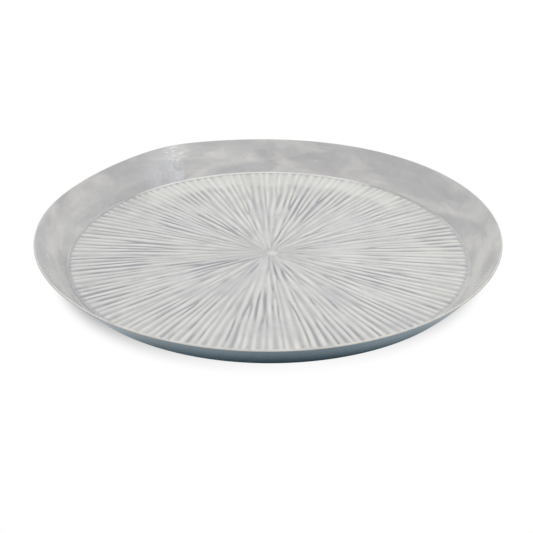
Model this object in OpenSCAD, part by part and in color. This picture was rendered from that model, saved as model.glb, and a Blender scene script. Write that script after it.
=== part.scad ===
// Round serving tray: a spun metal pan with a flared wall, lined with pearl enamel,
// lacquered slate blue outside, with a pressed sunburst disc bonded into its floor.
// Millimetres, +Z up. The origin is on the table, under the middle of the tray.

/* [Tray] */
// Outside diameter at the rim
rim_d = 380; // [320:5:440]
// Height from the table to the top of the rim lip
tray_h = 29; // [25:0.5:36]
// Angle of the wall above the table, in degrees
flare_deg = 45.5; // [42:0.5:58]
// Outside radius of the bend between base and wall
corner_r = 6; // [5:0.5:9]

/* [Layers] */
// Thickness of the spun metal sheet
sheet_t = 0.9; // [0.7:0.1:1.2]
// Thickness of the lacquer on the outside
lacquer_t = 0.3; // [0.2:0.05:0.4]
// Thickness of the enamel on the inside of the wall
enamel_t = 0.4; // [0.3:0.05:0.6]
// Width of the trimmed sheet edge that stays bare beside the rim lip
bare_edge = 0.25; // [0.1:0.05:0.4]
// Thickness of the adhesive film under the sunburst disc
bond_t = 0.3; // [0.2:0.05:0.4]

/* [Sunburst] */
// Thickness of the disc between its flutes
disc_t = 1.2; // [1:0.1:1.6]
// Number of flutes that reach the edge of the floor
flute_n = 144; // [55, 89, 144]
// Number of flutes that start beside the centre dome
centre_flutes = 21; // [13, 21]
// Height of a flute at its outer end
flute_h = 1; // [0.6:0.1:1.2]
// Width of a flute at its outer end
flute_w = 3.7; // [3:0.1:3.8]
// Distance of the flutes' common point from the tray's axis, to the right
burst_x = 0.9; // [-6:0.1:6]
// Distance of the flutes' common point from the tray's axis, to the back
burst_y = 2.8; // [-6:0.1:6]
// Distance of the dome from the flutes' common point, to the right
dome_right = 2.4; // [-2.5:0.1:2.5]
// Distance of the dome from the flutes' common point, to the back
dome_back = -1; // [-1.5:0.1:1.5]
// Diameter of the smooth dome near the flutes' common point
dome_d = 10; // [6:0.5:11]
// Height of the dome
dome_h = 1; // [0.6:0.1:1.4]

/* [Corner bead] */
// How far the bead's crown stands above the chord across it
bead_h = 0.45; // [0.2:0.05:0.6]
// How far the bead runs up the straight wall
bead_up = 0.4; // [0.2:0.1:1]

/* [Foot pads] */
// Diameter of one anti-slip pad
pad_d = 12; // [8:1:20]
// Height of a pad below the base
pad_h = 2; // [1:0.5:3]
// Radius of the circle that the pads sit on
pad_circle_r = 120; // [80:5:130]

/* [Hidden] */
$fn = 96;

// Depths below the outer face of the wall: the sheet's two faces, and the enamel's inner face
sheet_out = lacquer_t;
sheet_in = lacquer_t + sheet_t;
enamel_in = sheet_in + enamel_t;

// The rim lip is a half-round that sits on the trimmed edge, beside the strip of bare metal
lip_r = (enamel_in - sheet_out - bare_edge) / 2;
lip_depth = enamel_in - lip_r;

// The bend's centre, worked back from the rim, and the length of the straight wall above the bend
bend_z = pad_h + corner_r;
wall_top_z = tray_h - lip_r - lip_depth * cos(flare_deg);
wall_len = (wall_top_z - bend_z + corner_r * cos(flare_deg)) / sin(flare_deg);
bend_x = rim_d / 2 - corner_r * sin(flare_deg) - wall_len * cos(flare_deg);

// Heights of the stack in the floor
bond_z = pad_h + sheet_in;
disc_z = bond_z + bond_t;
floor_z = disc_z + disc_t;

// The disc reaches out until the pan's bend would lift its lower edge, less a fitting gap
inner_bend_r = corner_r - sheet_in;
disc_gap = 0.1;
disc_r = bend_x + sqrt(pow(inner_bend_r, 2) - pow(inner_bend_r - bond_t, 2)) - disc_gap;
bond_inset = 1.5;

// A flute is the crown of a long cone that lies under the floor with its axis level
crown_r = (pow(flute_w / 2, 2) + pow(flute_h, 2)) / (2 * flute_h);
flute_sink = crown_r - flute_h;
// How far a flute's base goes into the disc, how high its inner tip starts, and its rounded end
flute_root = 0.2;
tip_rise = 0.02;
end_round = 2;
cut_over = 1;
// Plain margins around the dome and inside the disc's edge
dome_margin = 3.5;
edge_margin = 0.5;
flute_end_r = disc_r - edge_margin;
first_start = dome_d / 2 + dome_margin;
// The last flute starts at this share of the floor's radius
last_share = 0.68;
last_start = last_share * flute_end_r;
// Each flute is turned by the golden angle from the one before, so new ones fall into the widest gaps
golden_angle = 180 * (3 - sqrt(5));

bend_steps = 8;
round_steps = 10;
end_steps = 4;
pad_edge = 0.6;

// A point on the bend, at an angle from straight down and a depth below the outer face
function bend_point(angle, depth) = [
    bend_x + (corner_r - depth) * sin(angle),
    bend_z - (corner_r - depth) * cos(angle)];

// A point on the straight wall, at a distance up from the bend and a depth below the outer face
function wall_point(up, depth) =
    bend_point(flare_deg, depth) + up * [cos(flare_deg), sin(flare_deg)];

// The bend's points at one depth, from one angle up to the start of the straight wall
function bend_line(depth, from_angle = 0) = [
    for (i = [0 : bend_steps])
        bend_point(from_angle + (flare_deg - from_angle) * i / bend_steps, depth)];

function reversed(list) = [for (i = [len(list) - 1 : -1 : 0]) list[i]];

// Points of a round crown from p to q, standing out by rise to the right of the line p to q
function crown(p, q, rise) =
    let (
        half = norm(q - p) / 2,
        along = (q - p) / norm(q - p),
        across = [along[1], -along[0]],
        radius = (half * half + rise * rise) / (2 * rise),
        spread = asin(half / radius) * 2,
        centre = (p + q) / 2 + (rise - radius) * across)
    [for (i = [1 : round_steps - 1])
        let (turn = spread * (i / round_steps - 0.5))
        centre + radius * (sin(turn) * along + cos(turn) * across)];

// A sheet of the pan's shape between two depths, from the axis to the trimmed rim
module pan_layer(outer_depth, inner_depth) {
    rotate_extrude()
        polygon(concat(
            [[0, pad_h + outer_depth]],
            bend_line(outer_depth),
            [wall_point(wall_len, outer_depth), wall_point(wall_len, inner_depth)],
            reversed(bend_line(inner_depth)),
            [[0, pad_h + inner_depth]]));
}

// The flutes start further and further out, so that their spacing stays even
function flute_start(i) =
    i < centre_flutes
        ? first_start
        : first_start + (last_start - first_start) * (i - centre_flutes) / (flute_n - centre_flutes);

// Distance from the flutes' common point to the circle where they end
function flute_reach(angle) =
    let (offset = burst_x * cos(angle) + burst_y * sin(angle))
    sqrt(offset * offset - burst_x * burst_x - burst_y * burst_y + flute_end_r * flute_end_r) - offset;

// One flute along +X, from start to end, with its base just below the floor
module flute(start, end) {
    length = end - start;
    tip_r = flute_sink + tip_rise;
    intersection() {
        translate([start, 0, -flute_sink])
            rotate([0, 90, 0])
                rotate_extrude()
                    polygon(concat(
                        [[0, 0], [tip_r, 0]],
                        [for (i = [0 : end_steps])
                            let (turn = 90 * i / end_steps)
                            [crown_r - (crown_r - flute_sink / 2) * (1 - cos(turn)),
                                length - end_round * (1 - sin(turn))]],
                        [[0, length]]));
        translate([0, -flute_w, -flute_root])
            cube([end + cut_over, 2 * flute_w, flute_root + flute_h + cut_over]);
    }
}

// Smooth dome inside the flutes' inner ends, with its base just below the floor
module centre_dome() {
    rotate_extrude()
        polygon(concat(
            [[0, -flute_root], [dome_d / 2, -flute_root]],
            [for (i = [0 : round_steps])
                let (turn = 90 * i / round_steps)
                [dome_d / 2 * cos(turn), dome_h * sin(turn)]]));
}

module pan() {
    color("silver")
        pan_layer(sheet_out, sheet_in);
}

module sunburst_disc() {
    color([0.82, 0.82, 0.80]) {
        translate([0, 0, disc_z])
            cylinder(h = disc_t, r = disc_r);
        translate([burst_x, burst_y, floor_z]) {
            translate([dome_right, dome_back, 0])
                centre_dome();
            for (i = [0 : flute_n - 1])
                rotate([0, 0, i * golden_angle])
                    flute(flute_start(i), flute_reach(i * golden_angle));
        }
    }
}

module bond_film() {
    color("whitesmoke")
        translate([0, 0, bond_z])
            cylinder(h = bond_t, r = disc_r - bond_inset);
}

module corner_bead() {
    disc_edge_angle = asin((disc_r - bend_x) / inner_bend_r);
    disc_edge = [disc_r, floor_z];
    wall_foot = wall_point(bead_up, enamel_in);
    color([0.84, 0.84, 0.83])
        rotate_extrude()
            polygon(concat(
                bend_line(sheet_in, disc_edge_angle),
                [wall_point(bead_up, sheet_in), wall_foot],
                crown(wall_foot, disc_edge, bead_h),
                [disc_edge]));
}

module wall_enamel() {
    color([0.74, 0.74, 0.74])
        rotate_extrude()
            polygon([
                wall_point(bead_up, sheet_in),
                wall_point(wall_len, sheet_in),
                wall_point(wall_len, enamel_in),
                wall_point(bead_up, enamel_in)]);
}

module rim_lip() {
    lip_foot = wall_point(wall_len, enamel_in - 2 * lip_r);
    lip_back = wall_point(wall_len, enamel_in);
    color([0.79, 0.79, 0.78])
        rotate_extrude()
            polygon(concat(
                [lip_foot],
                crown(lip_foot, lip_back, lip_r),
                [lip_back]));
}

module outer_lacquer() {
    color([0.38, 0.43, 0.46])
        pan_layer(0, lacquer_t);
}

module foot_pad(number) {
    color([0.88, 0.88, 0.88])
        rotate([0, 0, 90 * number - 45])
            translate([pad_circle_r, 0, 0])
                rotate_extrude()
                    polygon([
                        [0, 0],
                        [pad_d / 2 - pad_edge, 0],
                        [pad_d / 2, pad_edge],
                        [pad_d / 2, pad_h],
                        [0, pad_h]]);
}

pan();
sunburst_disc();
bond_film();
corner_bead();
wall_enamel();
rim_lip();
outer_lacquer();
foot_pad(1);  // foot_pad_1
foot_pad(2);  // foot_pad_2
foot_pad(3);  // foot_pad_3
foot_pad(4);  // foot_pad_4
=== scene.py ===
# %% [markdown]
# # A round serving tray with a sunburst floor
# The real tray is a spun metal pan with a flared wall. Its floor is a pressed disc with about 144 flutes. It
# is enamelled in cloudy pearl inside and lacquered slate blue outside. A model of it could be drawn by eye,
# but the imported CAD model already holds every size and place. So the lesson loads that model first, and all
# that follows only adds finish and the small irregularities of handwork.

# %% Load the frame
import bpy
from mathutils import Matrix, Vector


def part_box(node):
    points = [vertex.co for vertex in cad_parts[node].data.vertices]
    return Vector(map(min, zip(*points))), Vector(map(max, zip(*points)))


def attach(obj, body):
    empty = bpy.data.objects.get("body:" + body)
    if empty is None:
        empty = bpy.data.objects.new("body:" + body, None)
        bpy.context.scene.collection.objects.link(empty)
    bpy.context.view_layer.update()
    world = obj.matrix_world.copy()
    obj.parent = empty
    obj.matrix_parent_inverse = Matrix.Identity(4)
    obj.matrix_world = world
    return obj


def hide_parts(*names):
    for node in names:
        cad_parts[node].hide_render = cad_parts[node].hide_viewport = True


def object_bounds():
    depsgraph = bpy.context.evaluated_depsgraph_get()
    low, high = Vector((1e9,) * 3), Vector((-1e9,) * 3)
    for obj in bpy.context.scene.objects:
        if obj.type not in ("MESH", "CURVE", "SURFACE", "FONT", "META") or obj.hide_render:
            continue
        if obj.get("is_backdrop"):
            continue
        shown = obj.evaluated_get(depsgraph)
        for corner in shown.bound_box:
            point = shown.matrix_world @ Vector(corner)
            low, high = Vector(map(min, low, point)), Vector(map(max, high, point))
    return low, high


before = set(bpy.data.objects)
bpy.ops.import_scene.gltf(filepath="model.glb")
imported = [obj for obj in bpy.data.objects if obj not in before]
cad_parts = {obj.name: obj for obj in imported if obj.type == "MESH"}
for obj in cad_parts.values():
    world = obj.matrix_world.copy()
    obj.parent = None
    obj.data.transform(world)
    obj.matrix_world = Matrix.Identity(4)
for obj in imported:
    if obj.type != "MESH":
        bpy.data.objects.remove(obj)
cad_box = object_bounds()
print("nodes in the frame:", ", ".join(sorted(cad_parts)))

# %% [markdown]
# ## Sizes of the tray
# The tray is a stack of thin layers. Its overall sizes come from the frame. The thicknesses and the flare
# repeat the CAD model's own values, since a node's box cannot show them. Shapes are worked out in
# millimetres, as on a drawing, and materials in metres, as Blender has them.

# %% Read the sizes
import math
import bpy
import numpy as np
from mathutils import Vector, noise

MM = 0.001
FULL_TURN = 2 * math.pi
FLARE = math.radians(45.5)
CORNER_R = 6.0
LACQUER_T = 0.3
SHEET_T = 0.9
ENAMEL_T = 0.4
BARE_EDGE = 0.25
BOND_T = 0.3
DISC_GAP = 0.1
FLUTE_H = 1.0


def box_mm(node):
    """Lowest and highest corner of a CAD node, in millimetres."""
    low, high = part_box(node)
    return np.array(low) / MM, np.array(high) / MM


lacquer_low, lacquer_high = box_mm("outer_lacquer")
disc_low, disc_high = box_mm("sunburst_disc")
rim_r = min(lacquer_high[0], lacquer_high[1], -lacquer_low[0], -lacquer_low[1])
rim_top = box_mm("rim_lip")[1][2]
base_z = lacquer_low[2]
print(f"rim radius {rim_r:.2f} mm, rim top {rim_top:.2f} mm, base {base_z:.2f} mm above the table")

# %% [markdown]
# ## One curve for all layers
# All layers follow one curve: flat base, bend, straight flared wall. A depth counts inwards from the outside
# of the lacquer. On the bend a point is found by its angle, on the wall by its distance up from the bend. The
# bend's centre follows from the rim, which the frame gives.

# %% Points on the layers
BEND_STEPS = 16
sheet_in = LACQUER_T + SHEET_T
enamel_in = sheet_in + ENAMEL_T
lip_r = (enamel_in - LACQUER_T - BARE_EDGE) / 2
lip_depth = enamel_in - lip_r
bend_z = base_z + CORNER_R
wall_top_z = rim_top - lip_r - lip_depth * math.cos(FLARE)
wall_len = (wall_top_z - bend_z + CORNER_R * math.cos(FLARE)) / math.sin(FLARE)
bend_x = rim_r - CORNER_R * math.sin(FLARE) - wall_len * math.cos(FLARE)
inner_bend_r = CORNER_R - sheet_in
disc_r = bend_x + math.sqrt(inner_bend_r ** 2 - (inner_bend_r - BOND_T) ** 2) - DISC_GAP
floor_z = disc_high[2] - FLUTE_H


def bend_point(angle, depth):
    """A point (radius, height) on the bend, at an angle from straight down."""
    arm = CORNER_R - depth
    return bend_x + arm * math.sin(angle), bend_z - arm * math.cos(angle)


def wall_point(up, depth):
    """A point (radius, height) on the straight wall, at a distance up from the bend."""
    foot_r, foot_z = bend_point(FLARE, depth)
    return foot_r + up * math.cos(FLARE), foot_z + up * math.sin(FLARE)


def bend_line(depth, start=0.0):
    """Points along the bend at one depth, from an angle up to the straight wall."""
    return [bend_point(start + (FLARE - start) * i / BEND_STEPS, depth) for i in range(BEND_STEPS + 1)]


def wall_line(depth, low, high, steps):
    """Points along the wall at one depth, from one distance to another."""
    return [wall_point(low + (high - low) * i / steps, depth) for i in range(steps + 1)]


print(f"wall {wall_len:.2f} mm long, floor disc radius {disc_r:.2f} mm, grooves at {floor_z:.2f} mm")

# %% [markdown]
# ## Bent by hand
# A thin sheet gets a little out of true from spinning and handling. Here the rim has one shallow bulge at the
# back left and is pressed in on both sides of it, and the foot of the wall stands out at the front right. A
# lattice could bend the finished pieces. One function that pushes the points of every layer alike is surer,
# because no layer can then break through the next.

# %% Hand bend
# Direction and spread in degrees, and how far the rim is pushed out there in millimetres
RIM_BENDS = [(118, 9, 4.8), (150, 11, -2.0), (85, 15, -2.3), (58, 16, -1.0)]
# The same for the foot of the wall
FOOT_BENDS = [(325, 26, 2.4)]
# Shares of the way out to the rim: where the foot's bends set in, and where they fade again
FOOT_SETS_IN = (0.07, 0.13)
FOOT_FADES = (0.3, 1.0)
# The rim's bends grow with this power of the same share
RIM_POWER = 1.5
# Two slow waves also pull the rim in by up to this much: waves in a turn, and their start in radians
WAVE_IN = 0.2
FIRST_WAVE = (3, 0.8)
SECOND_WAVE = (5, 2.1)


def ease(value, low, high):
    """Smooth step from 0 at low to 1 at high."""
    share = np.clip((np.asarray(value) - low) / (high - low), 0, 1)
    return share * share * (3 - 2 * share)


def wave(angle, count_and_start):
    """A sine with a number of waves in a turn, and a start in radians."""
    count, start = count_and_start
    return np.sin(count * angle + start)


def away_from(angle, direction):
    """Difference between angles and a direction in degrees, at most half a turn either way."""
    return np.angle(np.exp(1j * (angle - math.radians(direction))))


def bend_push(angle, bends):
    """How far a list of bends pushes the wall out in each direction."""
    push = np.zeros(len(angle))
    for direction, spread, out in bends:
        push += out * np.exp(-0.5 * (away_from(angle, direction) / math.radians(spread)) ** 2)
    return push


def hand_bend(points):
    """Pushes wall points out or in: the rim's bends act most at the rim, the foot's just above the base."""
    angle = np.arctan2(points[:, 1], points[:, 0])
    radius = np.hypot(points[:, 0], points[:, 1])
    share = np.clip((radius - bend_x) / (rim_r - bend_x), 0, 1)
    pull = WAVE_IN * (wave(angle, FIRST_WAVE) * wave(angle, SECOND_WAVE) - 1) / 2
    push = (pull + bend_push(angle, RIM_BENDS)) * share ** RIM_POWER
    push += bend_push(angle, FOOT_BENDS) * ease(share, *FOOT_SETS_IN) * (1 - ease(share, *FOOT_FADES))
    bent = points.copy()
    bent[:, :2] *= (1 + push / np.maximum(radius, 1))[:, None]
    return bent


print(f"{len(RIM_BENDS)} bends at the rim, {len(FOOT_BENDS)} at the foot")

# %% [markdown]
# ## Turning a profile
# Most pieces of the tray are round, so they are turned: a profile is spun about the axis. Blender's Screw
# modifier would do that too. Plain mesh code is used here because its points can then be bent before they
# become a mesh. Each piece takes the place of one CAD node and gets its finish.

# %% Lathe
TURN_STEPS = 720
SHARP_ANGLE = math.radians(40)
ON_AXIS = 1e-6


def turn(profile, steps=TURN_STEPS):
    """Points and faces of a profile spun about Z. It is a loop, or runs from the axis back to the axis."""
    around = np.linspace(0, FULL_TURN, steps, endpoint=False)
    circle = np.stack([np.cos(around), np.sin(around)], axis=1)
    rows = []
    rings = []
    count = 0
    for radius, height in profile:
        single = radius < ON_AXIS
        row = np.zeros((1 if single else steps, 3))
        row[:, 2] = height
        if not single:
            row[:, :2] = radius * circle
        rings.append(np.zeros(steps, int) + count if single else np.arange(steps) + count)
        rows.append(row)
        count += len(row)
    pairs = list(zip(rings, rings[1:]))
    if profile[0][0] > ON_AXIS:
        pairs.append((rings[-1], rings[0]))
    faces = []
    for lower, upper in pairs:
        for a, b, c, d in zip(lower, np.roll(lower, -1), np.roll(upper, -1), upper):
            corners = [int(a), int(b), int(c), int(d)]
            faces.append([v for i, v in enumerate(corners) if v != corners[i - 1]])
    return np.concatenate(rows), faces


def add_piece(name, points, faces):
    """Makes a smooth mesh object from points in millimetres."""
    mesh = bpy.data.meshes.new(name)
    mesh.from_pydata((np.asarray(points) * MM).tolist(), [], faces)
    mesh.shade_smooth()
    mesh.set_sharp_from_angle(angle=SHARP_ANGLE)
    mesh.update()
    piece = bpy.data.objects.new(name, mesh)
    bpy.context.collection.objects.link(piece)
    return piece


def dress(piece, node, material):
    """Lets a piece stand for a CAD node and its finish."""
    piece.data.materials.append(material)
    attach(piece, "root")
    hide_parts(node)
    print(f"{piece.name}: {len(piece.data.polygons)} faces for {node}")


def turned_piece(name, profile, node, material):
    """Turns a profile, bends it as the tray is bent, and dresses it."""
    points, faces = turn(profile)
    dress(add_piece(name, hand_bend(points), faces), node, material)


print(f"profiles are turned in {TURN_STEPS} steps")

# %% [markdown]
# ## Small tools for nodes
# Every finish is made of nodes, so that it has no seams and stays sharp at any distance. Node trees get long
# when each node is placed and wired by hand. One helper that adds a node, sets it and feeds its inputs keeps
# them readable, and a few more name the steps that come again and again.

# %% Node helpers
# Most of a noise lies between these values
NOISE_RANGE = (0.3, 0.7)


def join(tree, source, socket):
    """Wires one socket to another."""
    tree.links.new(source, socket)


def add_node(tree, kind, feeds=None, **settings):
    """Adds a node, sets its settings, and feeds its inputs with values or with other sockets."""
    node = tree.nodes.new(kind)
    for key, value in settings.items():
        setattr(node, key, value)
    for key, value in (feeds or {}).items():
        if isinstance(value, bpy.types.NodeSocket):
            join(tree, value, node.inputs[key])
        else:
            node.inputs[key].default_value = value
    return node


def calculate(tree, operation, first, second=0.0):
    """One Math node."""
    return add_node(tree, "ShaderNodeMath", {0: first, 1: second}, operation=operation).outputs[0]


def vector_math(tree, operation, *feeds):
    """One Vector Math node: a number for a length or a dot product, and a vector otherwise."""
    node = add_node(tree, "ShaderNodeVectorMath", dict(enumerate(feeds)), operation=operation)
    return node.outputs["Value" if operation in ("LENGTH", "DOT_PRODUCT") else "Vector"]


def remap(tree, value, low, high, to_low=0.0, to_high=1.0):
    """Maps low..high smoothly to to_low..to_high, and holds the ends."""
    feeds = {"Value": value, "From Min": low, "From Max": high, "To Min": to_low, "To Max": to_high}
    return add_node(tree, "ShaderNodeMapRange", feeds, interpolation_type="SMOOTHSTEP").outputs[0]


def mix_colours(tree, mask, first, second):
    """Goes from the first colour to the second where the mask is 1."""
    return add_node(tree, "ShaderNodeMix", {0: mask, 6: first, 7: second}, data_type="RGBA").outputs[2]


def lay_over(tree, base, mask, share, colour):
    """Lays a colour over another by a share of a mask."""
    return mix_colours(tree, calculate(tree, "MULTIPLY", mask, share), base, colour)


def noise_value(tree, place, scale, detail=3.0, roughness=0.5, distortion=0.0):
    """A Noise texture's value."""
    feeds = {"Vector": place, "Scale": scale, "Detail": detail}
    feeds.update({"Roughness": roughness, "Distortion": distortion})
    return add_node(tree, "ShaderNodeTexNoise", feeds).outputs[0]


def off_middle(tree, value):
    """How far a noise is from its middle value."""
    return calculate(tree, "ABSOLUTE", calculate(tree, "SUBTRACT", value, 0.5))


def point_value(tree, name):
    """A number that the mesh holds at each of its points."""
    return add_node(tree, "ShaderNodeAttribute", attribute_name=name).outputs["Fac"]


print("node helpers ready")

# %% [markdown]
# ## Materials and groups
# A material here is one Principled shader with a colour, a roughness and a fine bump that change over the
# surface. Values that are the same all over go straight onto its sockets. What several finishes share is a
# node group, which is built once and placed in each with its own values.

# %% Material helpers
def new_material(name, **sockets):
    """A material with one Principled shader. Plain values go straight onto its sockets."""
    material = bpy.data.materials.new(name)
    material.use_nodes = True
    tree = material.node_tree
    shader = tree.nodes["Principled BSDF"]
    for key, value in sockets.items():
        shader.inputs[key.replace("_", " ")].default_value = value
    place = add_node(tree, "ShaderNodeTexCoord").outputs["Object"]
    return material, tree, shader, place


def coat(tree, shader, colour, roughness, height=None, strength=0.0, depth=0.0):
    """Wires a colour and a roughness to a shader, and a bump where a height is given."""
    join(tree, colour, shader.inputs["Base Color"])
    join(tree, roughness, shader.inputs["Roughness"])
    if height is not None:
        feeds = {"Height": height, "Strength": strength, "Distance": depth}
        join(tree, add_node(tree, "ShaderNodeBump", feeds).outputs[0], shader.inputs["Normal"])


def new_group(name, inputs, outputs):
    """An empty node group with its sockets, and the sockets seen from inside."""
    group = bpy.data.node_groups.new(name, "ShaderNodeTree")
    for label, kind, value in inputs:
        socket = group.interface.new_socket(label, in_out="INPUT", socket_type=kind)
        if value is not None:
            socket.default_value = value
    for label in outputs:
        group.interface.new_socket(label, in_out="OUTPUT", socket_type="NodeSocketFloat")
    source = group.nodes.new("NodeGroupInput").outputs
    sink = group.nodes.new("NodeGroupOutput").inputs
    return group, source, sink


def use_group(tree, group, **feeds):
    """Places a node group in a material."""
    named = {key.replace("_", " "): value for key, value in feeds.items()}
    return add_node(tree, "ShaderNodeGroup", named, node_tree=group).outputs


print("material helpers ready")

# %% [markdown]
# ## Pearl clouds
# Pearl enamel is poured and swirled, so it dries in soft clouds with finer veils in them. Single pours end
# in a soft edge, and a thin seam stays where two of them met. Floor, wall, bead, lip and lacquer all show
# some of it at different scales. It could be painted on each, but one node group with the scale as an input
# keeps them related, as they are on the tray.

# %% Pearl clouds group
CLOUD_INPUTS = [
    ("Place", "NodeSocketVector", None),
    ("Cloud Scale", "NodeSocketFloat", 20.0),
    ("Swirl", "NodeSocketFloat", 1.0),
]
CLOUD_OUTPUTS = ["Cloud", "Veil", "Pour", "Seam"]
# Detail and roughness of the three noises
CLOUD_DETAIL = (2.0, 0.45)
VEIL_DETAIL = (4.0, 0.55)
POUR_DETAIL = (1.5, 0.4)
# How much finer the veils are than the clouds, how much wider the pours, and where these take their noise
VEIL_FINER = 2.3
POUR_WIDER = 0.85
POUR_SHIFT = (0.4, 0.7, 0.2)
# Noise values between which a cloud or a pour sets in, and how far a seam reaches from a pour's edge
CLOUD_EDGES = (0.33, 0.67)
POUR_EDGES = (0.47, 0.53)
SEAM_REACH = 0.03

pearl_clouds, given, result = new_group("Pearl clouds", CLOUD_INPUTS, CLOUD_OUTPUTS)
finer = calculate(pearl_clouds, "MULTIPLY", given["Cloud Scale"], VEIL_FINER)
wider = calculate(pearl_clouds, "MULTIPLY", given["Cloud Scale"], POUR_WIDER)
shifted = vector_math(pearl_clouds, "ADD", given["Place"], POUR_SHIFT)
cloud = noise_value(pearl_clouds, given["Place"], given["Cloud Scale"], *CLOUD_DETAIL, given["Swirl"])
veil = noise_value(pearl_clouds, given["Place"], finer, *VEIL_DETAIL, given["Swirl"])
pour = noise_value(pearl_clouds, shifted, wider, *POUR_DETAIL, given["Swirl"])
join(pearl_clouds, remap(pearl_clouds, cloud, *CLOUD_EDGES), result["Cloud"])
join(pearl_clouds, remap(pearl_clouds, veil, *CLOUD_EDGES), result["Veil"])
join(pearl_clouds, remap(pearl_clouds, pour, *POUR_EDGES), result["Pour"])
seam = remap(pearl_clouds, off_middle(pearl_clouds, pour), 0.0, SEAM_REACH, 1.0, 0.0)
join(pearl_clouds, seam, result["Seam"])
print("group:", pearl_clouds.name)

# %% [markdown]
# ## Enamel skin
# A fired or sprayed coat is never flat: it has a faint orange peel, its gloss drifts, and a few specks of
# dust are caught in it. The peel is far too fine to model, so it is a height for a Bump node. The lacquer
# outside uses the same group with other values.

# %% Enamel skin group
SKIN_INPUTS = [
    ("Place", "NodeSocketVector", None),
    ("Peel Scale", "NodeSocketFloat", 400.0),
    ("Smoothest", "NodeSocketFloat", 0.25),
    ("Roughest", "NodeSocketFloat", 0.4),
]
SKIN_OUTPUTS = ["Roughness", "Height", "Speck"]
PEEL_DETAIL = 1.0
# Scale, detail, roughness and distortion of the noise in the gloss
DRIFT_NOISE = (35.0, 4.0, 0.6, 0.6)
# Dust lies in cells: few of them have a speck, and a speck is small
DUST_SCALE = 110.0
DUST_RARE = (0.93, 0.95)
DUST_SIZE = (0.05, 0.09)

enamel_skin, given, result = new_group("Enamel skin", SKIN_INPUTS, SKIN_OUTPUTS)
peel = noise_value(enamel_skin, given["Place"], given["Peel Scale"], PEEL_DETAIL)
drift = noise_value(enamel_skin, given["Place"], *DRIFT_NOISE)
gloss = remap(enamel_skin, drift, *NOISE_RANGE, given["Smoothest"], given["Roughest"])
dust = add_node(enamel_skin, "ShaderNodeTexVoronoi", {"Vector": given["Place"], "Scale": DUST_SCALE})
rare = remap(enamel_skin, dust.outputs["Color"], *DUST_RARE)
near = remap(enamel_skin, dust.outputs["Distance"], *DUST_SIZE, 1.0, 0.0)
join(enamel_skin, gloss, result["Roughness"])
join(enamel_skin, peel, result["Height"])
join(enamel_skin, calculate(enamel_skin, "MULTIPLY", rare, near), result["Speck"])
print("group:", enamel_skin.name)

# %% [markdown]
# ## The spun pan
# The pan carries everything else. It is one sheet of aluminium, spun over a former and trimmed at the rim.
# Only its trimmed edge shows, as a hairline beside the lip, so a turned profile with true thickness is
# enough. The finish has the fine rings that a spinning tool leaves.

# %% Spun pan
WALL_STEPS = 24
# Width of a ring in metres, and scale, detail and roughness of the noise that makes the rings uneven
RING_WIDTH = 0.0009
RING_NOISE = (1.0, 3.0, 0.7)
RING_RANGE = (0.2, 0.8)
METAL_TONES = ((0.68, 0.62, 0.55, 1), (0.82, 0.78, 0.72, 1))
METAL_ROUGHNESS = (0.28, 0.5)
METAL_BUMP = (0.3, 0.0002)
# Multiplied with a place, this leaves only what lies level
LEVEL = (1.0, 1.0, 0.0)


def pan_profile(outer_depth, inner_depth):
    """A layer of the pan's shape, from the axis out along its underside and back along its inside."""
    outside = bend_line(outer_depth) + wall_line(outer_depth, 0, wall_len, WALL_STEPS)[1:]
    inside = wall_line(inner_depth, wall_len, 0, WALL_STEPS) + bend_line(inner_depth)[-2::-1]
    return [(0, base_z + outer_depth)] + outside + inside + [(0, base_z + inner_depth)]


spun_aluminium, tree, shader, place = new_material("Spun aluminium", Metallic=1.0)
radius = vector_math(tree, "LENGTH", vector_math(tree, "MULTIPLY", place, LEVEL))
outwards = add_node(tree, "ShaderNodeCombineXYZ", {"X": calculate(tree, "DIVIDE", radius, RING_WIDTH)})
rings = noise_value(tree, outwards.outputs[0], *RING_NOISE)
metal = mix_colours(tree, rings, *METAL_TONES)
coat(tree, shader, metal, remap(tree, rings, *RING_RANGE, *METAL_ROUGHNESS), rings, *METAL_BUMP)
turned_piece("spun_pan", pan_profile(LACQUER_T, sheet_in), "pan", spun_aluminium)

# %% [markdown]
# ## The slate lacquer outside
# The outside and the underside are sprayed slate blue. The coat is thin and glossy, so at a glancing angle it
# mirrors the pale table, and its sides look paler than its front. That needs no paint: a plain dielectric
# gloss does it. Near the foot it mirrors the table's painted shadow. Colours mixed by height also darken the
# coat towards the base, as painted shade. At the trimmed edge the coat is rubbed off.

# %% Slate lacquer
# Heights in metres: below the first the coat has its full painted shade, above the second it has none
SHADE_TO_PLAIN_HEIGHTS = (0.003, 0.021)
LOW_SHADED_COATS = ((0.036, 0.080, 0.108, 1), (0.040, 0.088, 0.118, 1))
PLAIN_COATS = ((0.098, 0.137, 0.165, 1), (0.106, 0.147, 0.177, 1))
# Between these heights the coat has rubbed off by up to a share
RUBBED_HEIGHTS = (0.0272, 0.0278)
RUBBED_SHARE = 0.6
RUBBED_TONE = (0.52, 0.51, 0.48, 1)
PALE_DUST = (0.2, 0.24, 0.26, 1)
PALE_DUST_SHARE = 0.4
LACQUER_BUMP = (0.03, 0.0002)

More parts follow.
